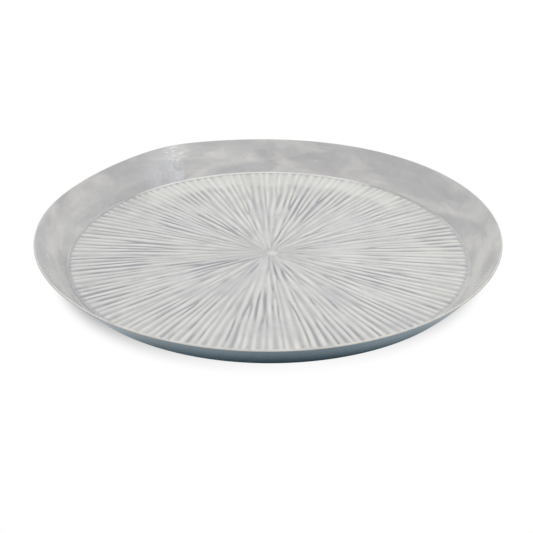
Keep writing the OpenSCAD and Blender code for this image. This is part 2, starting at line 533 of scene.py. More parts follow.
slate_lacquer, tree, shader, place = new_material("Slate lacquer", IOR=1.5)
skin = use_group(tree, enamel_skin, Place=place, Peel_Scale=500.0, Smoothest=0.08, Roughest=0.13)
clouds = use_group(tree, pearl_clouds, Place=place, Cloud_Scale=28.0, Swirl=0.8)
above_table = add_node(tree, "ShaderNodeSeparateXYZ", {0: place}).outputs["Z"]
# Painted shade: the coat is mixed darker towards the base
low_shaded_coat = mix_colours(tree, clouds["Cloud"], *LOW_SHADED_COATS)
plain_coat = mix_colours(tree, clouds["Cloud"], *PLAIN_COATS)
slate = mix_colours(tree, remap(tree, above_table, *SHADE_TO_PLAIN_HEIGHTS), low_shaded_coat, plain_coat)
slate = lay_over(tree, slate, skin["Speck"], PALE_DUST_SHARE, PALE_DUST)
rubbed = remap(tree, above_table, *RUBBED_HEIGHTS, 0.0, RUBBED_SHARE)
slate = mix_colours(tree, rubbed, slate, RUBBED_TONE)
coat(tree, shader, slate, skin["Roughness"], skin["Height"], *LACQUER_BUMP)
turned_piece("slate_coat", pan_profile(0, LACQUER_T), "outer_lacquer", slate_lacquer)

# %% [markdown]
# ## The marbled enamel
# Inside, the wall is coated in pearl enamel swirled with a warm and a lilac grey. The swirls come from the
# cloud group, flattened so that they run along the wall. The largest pours have places of their own: each is
# an oval, which a noise drags out of its round shape, so that no outline looks drawn.

# %% Marbled enamel
FLATTEN = (1.0, 1.0, 3.2)
CLOUD_SHIFT = (1.6, 3.75, 2.22)
MARBLE_TONES = ((0.398, 0.386, 0.402, 1), (0.640, 0.633, 0.606, 1))
POUR_TONE = (0.460, 0.468, 0.462, 1)
POUR_SHARE = 0.42
COOL_POUR = (0.415, 0.420, 0.430, 1)
LILAC_POUR = (0.430, 0.416, 0.436, 1)
PALE_POUR = (0.590, 0.585, 0.568, 1)
# Single pours: direction in degrees, share of the way up, reach around and up in metres, strength, colour
PLACED_POURS = [
    (183, 0.70, 0.050, 0.009, 0.5, LILAC_POUR),
    (181, 0.38, 0.045, 0.005, 0.5, PALE_POUR),
    (158, 0.16, 0.034, 0.005, 0.6, COOL_POUR),
    (158, 0.52, 0.036, 0.009, 0.6, PALE_POUR),
    (152, 0.80, 0.013, 0.005, 0.6, LILAC_POUR),
    (142, 0.60, 0.014, 0.013, 0.5, LILAC_POUR),
    (126, 0.84, 0.030, 0.008, 0.7, COOL_POUR),
    (111, 0.80, 0.022, 0.009, 0.7, COOL_POUR),
    (100, 0.80, 0.030, 0.007, 0.4, LILAC_POUR),
    (89, 0.82, 0.012, 0.008, 0.75, COOL_POUR),
    (79, 0.78, 0.030, 0.009, 0.75, PALE_POUR),
    (94, 0.35, 0.011, 0.011, 0.5, LILAC_POUR),
    (86, 0.30, 0.015, 0.012, 0.6, PALE_POUR),
    (76, 0.36, 0.020, 0.012, 0.6, LILAC_POUR),
    (62, 0.36, 0.034, 0.008, 0.5, PALE_POUR),
    (47, 0.78, 0.085, 0.011, 0.75, COOL_POUR),
    (43, 0.22, 0.035, 0.005, 0.6, COOL_POUR),
    (23, 0.45, 0.012, 0.014, 0.6, LILAC_POUR),
    (14, 0.25, 0.014, 0.008, 0.6, LILAC_POUR),
    (2, 0.60, 0.030, 0.014, 0.5, PALE_POUR),
]
# How far a noise drags the pours, in metres, with its scale and detail
DRAG = np.array([0.070, 0.070, 0.022])
DRAG_SCALE = 30.0
DRAG_DETAIL = 3.0
# Inside this share of its reach an oval is full
OVAL_FULL = 0.45
# The veils make a pour's edge ragged, between these factors
RAGGED_VEIL = (0.6, 1.4)
FULL_POUR = 1.1
VEIL_TONES = ((0.445, 0.440, 0.455, 1), (0.590, 0.587, 0.570, 1))
VEIL_SHARE = 0.3
SEAM_TONE = (0.40, 0.392, 0.405, 1)
SEAM_SHARE = 0.2


def oval_mask(tree, place, middle, oval_reach):
    """1 in the middle of an oval, and 0 outside its reach along each axis."""
    apart = vector_math(tree, "SUBTRACT", place, middle)
    share = vector_math(tree, "LENGTH", vector_math(tree, "DIVIDE", apart, oval_reach))
    return remap(tree, share, OVAL_FULL, 1.0, 1.0, 0.0)


marbled_enamel, tree, shader, place = new_material("Marbled enamel", IOR=1.5)
skin = use_group(tree, enamel_skin, Place=place, Peel_Scale=300.0, Smoothest=0.2, Roughest=0.32)
along = vector_math(tree, "MULTIPLY_ADD", place, FLATTEN, CLOUD_SHIFT)
clouds = use_group(tree, pearl_clouds, Place=along, Cloud_Scale=12.0, Swirl=1.3)
marble = mix_colours(tree, clouds["Cloud"], *MARBLE_TONES)
marble = lay_over(tree, marble, clouds["Pour"], POUR_SHARE, POUR_TONE)
drag_feeds = {"Vector": along, "Scale": DRAG_SCALE, "Detail": DRAG_DETAIL}
drag_noise = add_node(tree, "ShaderNodeTexNoise", drag_feeds)
dragged = vector_math(tree, "MULTIPLY_ADD", drag_noise.outputs["Color"], DRAG, place)
ragged_veil = remap(tree, clouds["Veil"], 0.0, 1.0, *RAGGED_VEIL)
for direction, way_up, reach_around, reach_up, strength, colour in PLACED_POURS:
    pour_turn = math.radians(direction)
    pour_r, pour_z = wall_point(way_up * wall_len, enamel_in)
    middle = np.array([pour_r * math.cos(pour_turn), pour_r * math.sin(pour_turn), pour_z]) * MM
    mask = oval_mask(tree, dragged, middle + DRAG / 2, (reach_around, reach_around, reach_up))
    mask = remap(tree, calculate(tree, "MULTIPLY", mask, ragged_veil), 0.0, FULL_POUR, 0.0, strength)
    marble = mix_colours(tree, mask, marble, colour)
marble = mix_colours(tree, VEIL_SHARE, marble, mix_colours(tree, clouds["Veil"], *VEIL_TONES))
marble = lay_over(tree, marble, clouds["Seam"], SEAM_SHARE, SEAM_TONE)
print(f"{len(PLACED_POURS)} pours on the wall")

# %% [markdown]
# ## A crazed place
# At the back left the coat has crazed: a cool haze with pale squiggles in it, which breaks off along a
# straight line. The haze is three overlapping balls around points of the wall, torn by a noise. The squiggles
# are the lines along which another noise passes through its middle value.

# %% Crazed place
# Middle and reach of each patch, in metres, with the strength of its haze and of its squiggles
CRAZED_PATCHES = [
    ((-0.0870, 0.1650, 0.0240), 0.0120, 0.6, 1.0),
    ((-0.0840, 0.1520, 0.0130), 0.0150, 1.0, 0.3),
    ((-0.0960, 0.1450, 0.0120), 0.0240, 0.75, 0.1),
]
# The patches break off at this distance left of the axis
BREAK_X = -0.077
BREAK_BLUR = 0.0015
# Scale, detail, roughness and distortion of the noises
TEAR_NOISE = (60.0, 3.0, 0.6, 1.5)
SQUIGGLE_NOISE = (125.0, 1.5, 0.6, 1.6)
MOTTLE_NOISE = (260.0, 2.0, 0.6, 1.0)
TEAR_EDGES = (0.34, 0.56)
LINE_WIDTH = (0.01, 0.05)
# What the tears and the mottle leave of the haze where they are strongest
TORN_HAZE = 0.35
MOTTLED_HAZE = 0.6
HAZE_TONE = (0.565, 0.575, 0.595, 1)
LINE_TONE = (0.74, 0.75, 0.77, 1)
DARK_DUST = (0.2, 0.2, 0.2, 1)
DARK_DUST_SHARE = 0.5
WALL_BUMP = (0.05, 0.0004)

torn = remap(tree, noise_value(tree, place, *TEAR_NOISE), *TEAR_EDGES)
sideways = add_node(tree, "ShaderNodeSeparateXYZ", {0: place}).outputs["X"]
unbroken = remap(tree, sideways, BREAK_X - BREAK_BLUR, BREAK_X + BREAK_BLUR, 1.0, 0.0)
off_line = off_middle(tree, noise_value(tree, place, *SQUIGGLE_NOISE))
line = remap(tree, off_line, *LINE_WIDTH, 1.0, 0.0)
haze = 0.0
lines = 0.0
for middle, patch_reach, haze_strength, line_strength in CRAZED_PATCHES:
    patch = calculate(tree, "MULTIPLY", oval_mask(tree, place, middle, [patch_reach] * 3), unbroken)
    haze = calculate(tree, "MAXIMUM", haze, calculate(tree, "MULTIPLY", patch, haze_strength))
    patch_lines = calculate(tree, "MULTIPLY", calculate(tree, "MULTIPLY", patch, line), line_strength)
    lines = calculate(tree, "MAXIMUM", lines, patch_lines)
haze = calculate(tree, "MULTIPLY", haze, remap(tree, torn, 0.0, 1.0, TORN_HAZE, 1.0))
mottle = noise_value(tree, place, *MOTTLE_NOISE)
haze = calculate(tree, "MULTIPLY", haze, remap(tree, mottle, *NOISE_RANGE, MOTTLED_HAZE, 1.0))
marble = mix_colours(tree, haze, marble, HAZE_TONE)
marble = mix_colours(tree, calculate(tree, "MULTIPLY", lines, torn), marble, LINE_TONE)
marble = lay_over(tree, marble, skin["Speck"], DARK_DUST_SHARE, DARK_DUST)
coat(tree, shader, marble, skin["Roughness"], skin["Height"], *WALL_BUMP)
print(f"{len(CRAZED_PATCHES)} crazed patches")

# %% [markdown]
# ## The wall's coat
# The coat could be a colour on the pan's inside. It is a solid of its own here, with its real thickness, so
# its edge shows at the lip as it would on a chipped tray.

# %% Marbled wall
BEAD_UP = 0.4

outside = wall_line(sheet_in, BEAD_UP, wall_len, WALL_STEPS)
inside = wall_line(enamel_in, wall_len, BEAD_UP, WALL_STEPS)
turned_piece("marbled_wall", outside + inside, "wall_enamel", marbled_enamel)

# %% [markdown]
# ## The cream lip
# Enamel draws back from a sharp edge and gathers in a round lip beside it. The lip is turned as a half round
# on the trimmed sheet. It leaves a strip of the edge bare, and its paler colour has worn spots.

# %% Cream lip
LIP_STEPS = 12
LIP_TONES = ((0.62, 0.614, 0.590, 1), (0.70, 0.694, 0.668, 1))
LIP_WORN = (0.42, 0.39, 0.34, 1)
LIP_WORN_SHARE = 0.35
TRIM_BUMP = (0.1, 0.0003)


def crown(first, last, rise, steps):
    """Points of a round crown between two points, standing out by rise to the right of the line."""
    first = np.array(first)
    last = np.array(last)
    half = np.linalg.norm(last - first) / 2
    along = (last - first) / (2 * half)
    across = np.array([along[1], -along[0]])
    radius = (half ** 2 + rise ** 2) / (2 * rise)
    spread = 2 * math.asin(min(half / radius, 1))
    centre = (first + last) / 2 + (rise - radius) * across
    turns = [spread * (i / steps - 0.5) for i in range(1, steps)]
    return [tuple(centre + radius * (math.sin(a) * along + math.cos(a) * across)) for a in turns]


lip_enamel, tree, shader, place = new_material("Lip enamel", IOR=1.5)
skin = use_group(tree, enamel_skin, Place=place, Peel_Scale=600.0, Smoothest=0.25, Roughest=0.4)
clouds = use_group(tree, pearl_clouds, Place=place, Cloud_Scale=110.0, Swirl=0.5)
cream = mix_colours(tree, clouds["Cloud"], *LIP_TONES)
cream = lay_over(tree, cream, clouds["Seam"], LIP_WORN_SHARE, LIP_WORN)
coat(tree, shader, cream, skin["Roughness"], skin["Height"], *TRIM_BUMP)

lip_foot = wall_point(wall_len, enamel_in - 2 * lip_r)
lip_back = wall_point(wall_len, enamel_in)
lip_profile = [lip_foot] + crown(lip_foot, lip_back, lip_r, LIP_STEPS) + [lip_back]
turned_piece("cream_lip", lip_profile, "rim_lip", lip_enamel)

# %% [markdown]
# ## The bead at the foot of the wall
# A fine bead of enamel closes the gap between the floor disc and the wall. It is grey, with a painted
# highlight in a few stretches where its top catches the light from above. A colour ramp around the tray could
# hold those. A dot product with the direction of each stretch does the same and needs no seam.

# %% Bead enamel
BEAD_GREYS = ((0.39, 0.39, 0.397, 1), (0.46, 0.46, 0.46, 1))
BEAD_HIGHLIGHTS = ((0.72, 0.72, 0.71, 1), (0.82, 0.82, 0.80, 1))
# Stretches with a painted highlight on the bead: direction and half length in degrees, and strength
HIGHLIGHT_STRETCHES = [(96, 38, 1.0), (352, 38, 0.3), (165, 22, 0.25)]
STRETCH_BLUR = 6

bead_enamel, tree, shader, place = new_material("Bead enamel", IOR=1.5)
skin = use_group(tree, enamel_skin, Place=place, Peel_Scale=600.0, Smoothest=0.22, Roughest=0.36)
clouds = use_group(tree, pearl_clouds, Place=place, Cloud_Scale=45.0, Swirl=1.0)
grey = mix_colours(tree, clouds["Cloud"], *BEAD_GREYS)
highlight_colour = mix_colours(tree, clouds["Cloud"], *BEAD_HIGHLIGHTS)
outward = vector_math(tree, "NORMALIZE", place)
highlight_share = 0.0
# Painted highlight in stretches where the bead's top catches the light
for direction, half_length, strength in HIGHLIGHT_STRETCHES:
    highlight_way = (math.cos(math.radians(direction)), math.sin(math.radians(direction)), 0.0)
    facing = vector_math(tree, "DOT_PRODUCT", outward, highlight_way)
    fading = math.cos(math.radians(half_length + STRETCH_BLUR))
    full = math.cos(math.radians(half_length - STRETCH_BLUR))
    highlight_share = calculate(tree, "MAXIMUM", highlight_share, remap(tree, facing, fading, full, 0.0, strength))
coat(tree, shader, mix_colours(tree, highlight_share, grey, highlight_colour), skin["Roughness"], skin["Height"], *TRIM_BUMP)
print(f"{len(HIGHLIGHT_STRETCHES)} paler stretches on the bead")

# %% [markdown]
# ## The bead's shape
# A curve with a round bevel could stand for the bead. The true section is used instead, because it fills the
# bend below. Its crown is pushed up and down slightly, as a bead run by hand is.

# %% Corner bead
BEAD_H = 0.45
BEAD_WOBBLE = 0.06
# Waves in a turn and their start: the first two are multiplied, and half of the third is added
WOBBLE_WAVES = ((17, 0), (5, 1), (41, 2))

disc_edge = (disc_r, floor_z)
wall_foot = wall_point(BEAD_UP, enamel_in)
disc_edge_angle = math.asin((disc_r - bend_x) / inner_bend_r)
hidden = bend_line(sheet_in, disc_edge_angle) + [wall_point(BEAD_UP, sheet_in)]
arch = crown(wall_foot, disc_edge, BEAD_H, LIP_STEPS)
points, faces = turn(hidden + [wall_foot] + arch + [disc_edge])
turned_to = np.arctan2(points[:, 1], points[:, 0])
on_arch = np.zeros(len(points))
first_arch = (len(hidden) + 1) * TURN_STEPS
on_arch[first_arch:first_arch + len(arch) * TURN_STEPS] = 1
first, second, third = [wave(turned_to, row) for row in WOBBLE_WAVES]
points[:, 2] += on_arch * BEAD_WOBBLE * (first * second + 0.5 * third)
foot_bead = add_piece("foot_bead", hand_bend(points), faces)
dress(foot_bead, "corner_bead", bead_enamel)

# %% [markdown]
# ## Planning the flutes
# The flutes fan out from a common point beside a small dome. As the circle widens, new flutes start between
# the old ones, so the spacing stays even. Turning each new flute by the golden angle does that with one rule,
# the same as in the CAD model. Real pressed flutes differ, so each gets its own start, end, width and height
# from a seeded generator, and its groove its own depth of wash.

# %% Plan the flutes
FLUTES = 144
CENTRE_FLUTES = 21
GOLDEN_ANGLE = math.pi * (3 - math.sqrt(5))
DOME_AT = np.array([3.3, 1.8])
FAN_AT = np.array([0.9, 2.8])
DOME_R = 5.0
DOME_H = 1.0
FIRST_START = 8.5
LAST_SHARE = 0.68
EDGE_MARGIN = 0.5
# How far the ends wander, and the starts of the first flutes and of the later ones
END_WANDER = 0.4
FIRST_WANDER = 1.2
LATER_WANDER = 5.0
# Least and most of what each flute gets
WEIGHTS = (0.85, 1.2)
HEIGHTS = (0.78, 1.0)
WASHES = (0.55, 1.0)
STROKE_SHIFT = (-8, 8)
NOTCHES = (-0.3, 0.55)
# Painted shade on the floor's side towards this direction: the wash is heavier there
SHADED_SIDE_TURN = math.radians(215)
SHADED_SIDE_WASH = 0.1
FLUTE_SEED = 7
rng = np.random.default_rng(FLUTE_SEED)

order = np.arange(FLUTES)
flute_angle = order * GOLDEN_ANGLE % FULL_TURN
flute_end = disc_r - EDGE_MARGIN + rng.uniform(-END_WANDER, END_WANDER, FLUTES)
later = np.clip((order - CENTRE_FLUTES) / (FLUTES - CENTRE_FLUTES), 0, 1)
flute_start = FIRST_START + later * (LAST_SHARE * disc_r - FIRST_START)
flute_start += rng.uniform(-1, 1, FLUTES) * np.where(order < CENTRE_FLUTES, FIRST_WANDER, LATER_WANDER)
flute_weight = rng.uniform(*WEIGHTS, FLUTES)
flute_height = FLUTE_H * rng.uniform(*HEIGHTS, FLUTES)
flute_wash = rng.uniform(*WASHES, FLUTES)
stroke_shift = rng.uniform(*STROKE_SHIFT, FLUTES)
# Each flute's depth of painted shade in its notch
notch_shade_depth = np.clip(rng.uniform(*NOTCHES, FLUTES), 0, 1)
# Painted shade: the wash is heavier on the shaded side
flute_wash *= 1 + SHADED_SIDE_WASH * np.cos(flute_angle - SHADED_SIDE_TURN)
print(f"{FLUTES} flutes, {FULL_TURN * disc_r / FLUTES:.2f} mm apart at the edge")

# %% [markdown]
# ## Rings and columns
# The floor is worked out ring by ring around the dome. Displacing a plane with a texture would be quicker to
# set up, but it could not keep every crest smooth and unbroken from its start to its tip. The points of a
# ring stand in columns that fan out from the flutes' common point and sway a little, so each flute follows
# columns and needs no bending of its own.

# %% Columns of points
ROUND_SAMPLES = 1440
# How far the columns sway, how many waves that has around a ring, and how long a wave is along a flute
SWAY_MM = 0.9
SWAY_TURN = 12.0
SWAY_LENGTH = 34.0
SWAY_SEED = 6.3
SWAY_SETS_IN = (5.0, 30.0)
around = np.linspace(0, FULL_TURN, ROUND_SAMPLES, endpoint=False)
fan_x, fan_y = FAN_AT - DOME_AT
fan_aside = np.cos(around) * fan_y - np.sin(around) * fan_x


def noise_row(first, second, third):
    """Smooth noise from about -1 to 1 at each spot of a row. A coordinate is a row or one number for all."""
    spots = zip(*np.broadcast_arrays(first, second, third))
    return np.array([noise.noise(Vector(spot)) for spot in spots])


def circle_noise(angle, turn_waves, along):
    """Smooth noise on a circle, with a number of waves around it."""
    return noise_row(turn_waves * np.cos(angle), turn_waves * np.sin(angle), along)


def column_sway(ring):
    """How far each column is pushed aside on this ring."""
    drift = circle_noise(around, SWAY_TURN, ring / SWAY_LENGTH + SWAY_SEED)
    return SWAY_MM * drift * ease(ring, *SWAY_SETS_IN)


def ring_points(ring):
    """Floor points on one ring around the dome, and their distances from the dome."""
    arm = max(ring, FIRST_START)
    turned = around + np.arcsin(fan_aside / arm) + column_sway(ring) / arm
    offset = DOME_AT[0] * np.cos(turned) + DOME_AT[1] * np.sin(turned)
    radius = ring / disc_r * (np.sqrt(offset ** 2 - DOME_AT @ DOME_AT + disc_r ** 2) - offset)
    return DOME_AT[0] + radius * np.cos(turned), DOME_AT[1] + radius * np.sin(turned), radius


print(f"rings of {ROUND_SAMPLES} points, about {FULL_TURN * disc_r / ROUND_SAMPLES:.2f} mm apart at the edge")

# %% [markdown]
# ## Raising the crests
# On each ring the flutes that have started are sorted. Two neighbours share the gap between them by their
# weights, and each crest rolls off softly into the groove. A flute grows from its start, ends in a round tip,
# and loses some height in stretches of its own.

# %% Crests on a ring
GROW_MM = 22.0
GROWN_AT_START = 0.15
TIP_MM = 1.8
WIDEST_HALF = 3.4
FULL_HALF = 2.2
NARROWEST = 0.05
CREST_SOFTNESS = 0.85
# Length and depth of the faded stretches, noise values between which they set in, and how far apart the
# flutes take their noise
FADE_MM = 24.0
FADE_DEPTH = 0.45
FADE_EDGES = (0.05, 0.5)
FADE_APART = 5.17
FADE_SEED = 9.2


def roll_off(share):
    """Section of a flute: 1 on its crest, 0 at the edge of its half of the groove."""
    return (0.5 + 0.5 * np.cos(math.pi * np.clip(share, 0, 1))) ** CREST_SOFTNESS


def flute_fade(ring):
    """How far each flute has faded on this ring."""
    return FADE_DEPTH * ease(noise_row(ring / FADE_MM, FADE_APART * order, FADE_SEED), *FADE_EDGES)


def ring_crests(ring, radius):
    """Height, nearness to a crest line, distance from the groove's middle, and the groove, at each point."""
    alive = order[flute_start < ring]
    if len(alive) == 0:
        nothing = np.zeros(ROUND_SAMPLES)
        return nothing, nothing, nothing, nothing.astype(int)
    flute = alive[np.argsort(flute_angle[alive])]
    angle = flute_angle[flute]
    grown = ease((ring - flute_start[flute]) / GROW_MM, -GROWN_AT_START, 1)
    tip = np.clip((flute_end[flute] - ring) / TIP_MM, 0, 1)
    rounded = np.sqrt(tip * (2 - tip))
    weight = flute_weight[flute] * grown
    gap = (np.roll(angle, -1) - angle) % FULL_TURN * ring
    share = weight / (weight + np.roll(weight, -1))
    half_after = np.minimum(gap * share, WIDEST_HALF)
    half_before = np.minimum(gap * (1 - share), WIDEST_HALF)
    full = np.minimum(1, (half_after + np.roll(half_before, 1)) / 2 / FULL_HALF)
    tall = flute_height[flute] * rounded * full * (1 - flute_fade(ring)[flute])
    left = np.searchsorted(angle, around, side="right") - 1
    right = (left + 1) % len(angle)
    narrow = np.maximum(rounded, NARROWEST)
    past = (around - angle[left]) % FULL_TURN * radius
    short = (angle[right] - around) % FULL_TURN * radius
    from_middle = abs((past - half_after[left]) - (short - half_before[left])) / 2
    past /= half_after[left]
    short /= half_before[left]
    left_crest = tall[left] * roll_off(past / narrow[left])
    right_crest = tall[right] * roll_off(short / narrow[right])
    near_crest = np.maximum(roll_off(past), roll_off(short))
    return np.maximum(left_crest, right_crest), near_crest, from_middle, flute[left]


print(f"flutes grow over {GROW_MM:.0f} mm and end in tips of {TIP_MM} mm")

# %% [markdown]
# ## Wash in the grooves, and painted shade at their ends
# A dark wash was wiped over the floor and stayed in the grooves, in strokes that swell and taper. Some groups
# of strokes have places of their own, others come from noise. At the very end of each groove, between two
# tips, painted shade is added in a short notch, and along the bead in a crease.

# %% Wash and painted shade on a ring
# Where the wash lies thickest: direction and spread in degrees, share of the radius and reach, strength
WASH_PLACES = [
    (203, 10, 0.32, 0.20, 1.0),
    (282, 14, 0.22, 0.12, 0.9),
    (126, 9, 0.33, 0.16, 0.7),
    (143, 11, 0.57, 0.26, 1.0),
    (72, 13, 0.57, 0.24, 1.0),
    (173, 13, 0.67, 0.24, 1.0),
    (189, 12, 0.74, 0.20, 1.0),
    (260, 10, 0.53, 0.20, 0.85),
    (332, 17, 0.61, 0.28, 1.0),
    (232, 10, 0.70, 0.18, 0.8),
    (208, 12, 0.90, 0.12, 0.9),
    (288, 13, 0.82, 0.14, 0.8),
    (10, 16, 0.90, 0.10, 0.9),
    (36, 12, 0.67, 0.18, 0.8),
    (20, 9, 0.80, 0.12, 0.7),
    (94, 7, 0.81, 0.08, 0.7),
]
PLACE_FULL = 0.6
BASE_WASH = 0.2
STROKE_HALF = 1.0
# Strokes in clusters of neighbours: waves around a ring, length in millimetres, noise edges and strength
CLUSTER_TURN = 3.4
CLUSTER_MM = 40.0
CLUSTER_EDGES = (0.02, 0.48)
CLUSTER_WASH = 0.6
# Stray strokes: length, distance between the grooves' noises, seed, noise edges and strength
STRAY_MM = 22
STRAY_APART = 7.31
STRAY_SEED = 2.5
STRAY_EDGES = (0.12, 0.5)
STRAY_WASH = 0.7
# The wash sets in over these distances from the dome, and is thinner beyond these shares of the radius
WASH_SETS_IN = (5, 32)
WASH_THINS = (0.8, 0.95)
WASH_LOSS = 0.15
# The painted shade of the notches and the crease lies between these shares of the radius
NOTCH_HALF = 0.45
NOTCH_SHARES = (0.94, 0.985)
CREASE_SHADE_SHARES = (0.978, 0.994)
# The crease's painted shade grows by up to this share on the shaded side
CREASE_SHADE_ON_SHADED_SIDE = 0.3
# A pale pool of enamel lies along the back edge and takes some of the notches' painted shade
POOL_TURN = math.radians(88)
BACK_RANGE = (0.3, 0.8)
BACK_LOSS = 0.3
# At the back left the painted shade in all notches is deeper
NOTCHED_TURN = math.radians(137)
NOTCHED_RANGE = (0.72, 0.95)
NOTCHED = 0.35
at_back = ease(np.cos(around - POOL_TURN), *BACK_RANGE)
at_back_left = ease(np.cos(around - NOTCHED_TURN), *NOTCHED_RANGE)


def in_place(angle, ring, place, ragged=0.0):
    """The strength of an oval place on the floor: full in its middle, falling to 0 at its edge."""
    direction, spread, middle, reach, strength = place
    aside = away_from(angle, direction) / math.radians(spread)
    along = (ring / disc_r - middle) / reach
    return strength * ease(1 - np.hypot(aside, along) + ragged, 0, PLACE_FULL)


def ring_wash(ring, from_middle, groove):
    """How far the wash fills each groove on this ring."""
    clusters = circle_noise(flute_angle, CLUSTER_TURN, (ring + stroke_shift) / CLUSTER_MM)
    strays = noise_row(ring / STRAY_MM, STRAY_APART * order, STRAY_SEED)
    strokes = CLUSTER_WASH * ease(clusters, *CLUSTER_EDGES)
    strokes = np.maximum(strokes, STRAY_WASH * ease(strays, *STRAY_EDGES))
    for place in WASH_PLACES:
        strokes = np.maximum(strokes, in_place(flute_angle, ring + stroke_shift, place))
    faded = ease(ring, *WASH_SETS_IN) * (1 - WASH_LOSS * ease(ring / disc_r, *WASH_THINS))
    in_middle = 1 - ease(from_middle, STROKE_HALF, 2 * STROKE_HALF)
    return flute_wash[groove] * (BASE_WASH + (1 - BASE_WASH) * in_middle * (strokes * faded)[groove])


def ring_notch_shade(ring, from_middle, groove):
    """How dark the painted shade in the short notch between two tips is."""
    in_middle = 1 - ease(from_middle, NOTCH_HALF, 2 * NOTCH_HALF)
    deep = notch_shade_depth[groove] * (1 - BACK_LOSS * at_back) + NOTCHED * at_back_left
    return deep * ease(ring / disc_r, *NOTCH_SHARES) * in_middle


def ring_crease_shade(ring):
    """How dark the painted shade in the crease between the tips and the bead is: most on the shaded side."""
    crease = 1.0 + CREASE_SHADE_ON_SHADED_SIDE * np.cos(around - SHADED_SIDE_TURN)
    return ease(ring / disc_r, *CREASE_SHADE_SHARES) * crease


print(f"{len(WASH_PLACES)} places with thick wash")

# %% [markdown]
# ## Worn, smeared and filled places
# The relief is not equally sharp all over. It is worn in clouds that are drawn out along the flutes, some
# places were smeared flat while the enamel was wet, and at the back edge a pale pool fills the grooves. Each
# is a number from 0 to 1 on every point of a ring.

# %% Worn places on a ring
# Two noises wear the relief: waves around and length of the first, size and share of the second
WORN_TURN = 3.2
WORN_MM = 40
WORN_SEED = 3.1
SPOT_MM = 21
SPOT_SEED = 8.4
SPOT_SHARE = 0.6
WORN_EDGES = (0.12, 0.65)
# Beyond these shares of the radius it is worn less
WORN_THINS = (0.6, 0.85)
WORN_LOSS = 0.6
# Where the flutes were smeared flat: direction and spread in degrees, share of the radius and reach, strength
SMEARS = [
    (244, 12, 0.37, 0.18, 1.0),
    (228, 9, 0.52, 0.12, 0.7),
    (97, 9, 0.50, 0.16, 0.7),
    (307, 9, 0.52, 0.18, 0.7),
    (271, 13, 0.74, 0.13, 0.6),
    (312, 12, 0.92, 0.08, 0.5),
    (142, 8, 0.93, 0.07, 0.6),
]
SMEAR_MM = 12
SMEAR_SEED = 6.6
SMEAR_RAGGED = 0.3
# The pool: size and seed of the noise in its outline, how far that moves it in and aside, and its edges
POOL_MM = 17
POOL_SEED = 4.4
POOL_DRIFT_IN = 0.05
POOL_DRIFT_ASIDE = 0.15
POOL_SHARES = (0.80, 0.88)
POOL_SIDES = (0.54, 0.8)
# Near the bead it is thinner
POOL_THINS = (0.955, 0.985)
POOL_LOSS = 0.5


def ring_worn(ring, x, y):
    """How far the relief is worn on this ring."""
    drawn_out = circle_noise(around, WORN_TURN, ring / WORN_MM + WORN_SEED)
    spots = noise_row(x / SPOT_MM, y / SPOT_MM, SPOT_SEED)
    worn = ease(drawn_out + SPOT_SHARE * spots, *WORN_EDGES)
    return worn * (1 - WORN_LOSS * ease(ring / disc_r, *WORN_THINS))


def ring_smears(ring, x, y):
    """How far the flutes are smeared flat on this ring."""
    ragged = SMEAR_RAGGED * noise_row(x / SMEAR_MM, y / SMEAR_MM, SMEAR_SEED)
    return np.maximum.reduce([in_place(around, ring, place, ragged) for place in SMEARS])


def ring_pool(ring, x, y):
    """How far the pool fills the grooves on this ring."""
    drift = noise_row(x / POOL_MM, y / POOL_MM, POOL_SEED)
    band = ease(ring / disc_r + POOL_DRIFT_IN * drift, *POOL_SHARES)
    band *= 1 - POOL_LOSS * ease(ring / disc_r, *POOL_THINS)
    return ease(np.cos(around - POOL_TURN) + POOL_DRIFT_ASIDE * drift, *POOL_SIDES) * band


print(f"{len(SMEARS)} smeared places and one pool")

# %% [markdown]
# ## The sunburst disc
# The rings are now stacked from the dome to the edge, closer together where the shape turns quickly: on the
# dome and at the flutes' round tips. Four numbers are kept with each point for the finish: how near it is to
# a crest, how far the relief is worn and smeared there, and how dark the wash and the painted shade lie. The
# crest number is also lowered by painted shade on one side and in the crease.

# %% Build the disc
TIP_ZONE = 10.0
# Stretches of rings: from, to, and their number
RING_STRETCHES = [
    (0, DOME_R, 6),
    (DOME_R, FIRST_START, 3),
    (FIRST_START, disc_r - TIP_ZONE, 42),
    (disc_r - TIP_ZONE, disc_r, 15),
]
# How much of the relief wear takes, how much of the gap below a level the pool fills
WEAR_TAKES = 0.55
POOL_FILLS = 0.25
POOL_LEVEL = 0.7
# Crests count less near the dome, fully beyond, and their lines still count at the tips
CENTRE_CREST = 0.6
CREST_SETS_IN = (15, 70)
TIP_CREST = 0.8
TIP_SHARES = (0.93, 0.97)
DOME_TONE = 0.58
# The pool lifts the tone towards a top value, and hides some wash and wear
POOL_LIFTS = 0.38
POOL_TOP = 1.5
POOL_HIDES_WASH = 0.65
POOL_HIDES_WEAR = 0.5
# Painted shade: the tone is lower on the shaded side, and in the crease
SHADED_SIDE_LOSS = 0.16
CREASE_SHADE_LOSS = 0.6
CREASE_SHADE_WASH = 0.25


def crest_tone_with_shade(ring, crest, near_crest, pool):
    """How pale the finish is by the crests and the pool on this ring, less the painted shade on one side and
    in the crease.
    """
    tone = crest * (CENTRE_CREST + (1 - CENTRE_CREST) * ease(ring, *CREST_SETS_IN))
    tone = np.maximum(tone, TIP_CREST * near_crest * ease(ring / disc_r, *TIP_SHARES))
    tone += POOL_LIFTS * pool * np.clip(POOL_TOP - tone, 0, POOL_TOP)
    # Painted shade: darker on one side of the floor, and in the crease
    tone *= 1 - SHADED_SIDE_LOSS * (1 + np.cos(around - SHADED_SIDE_TURN)) / 2
    return tone * (1 - CREASE_SHADE_LOSS * ring_crease_shade(ring))


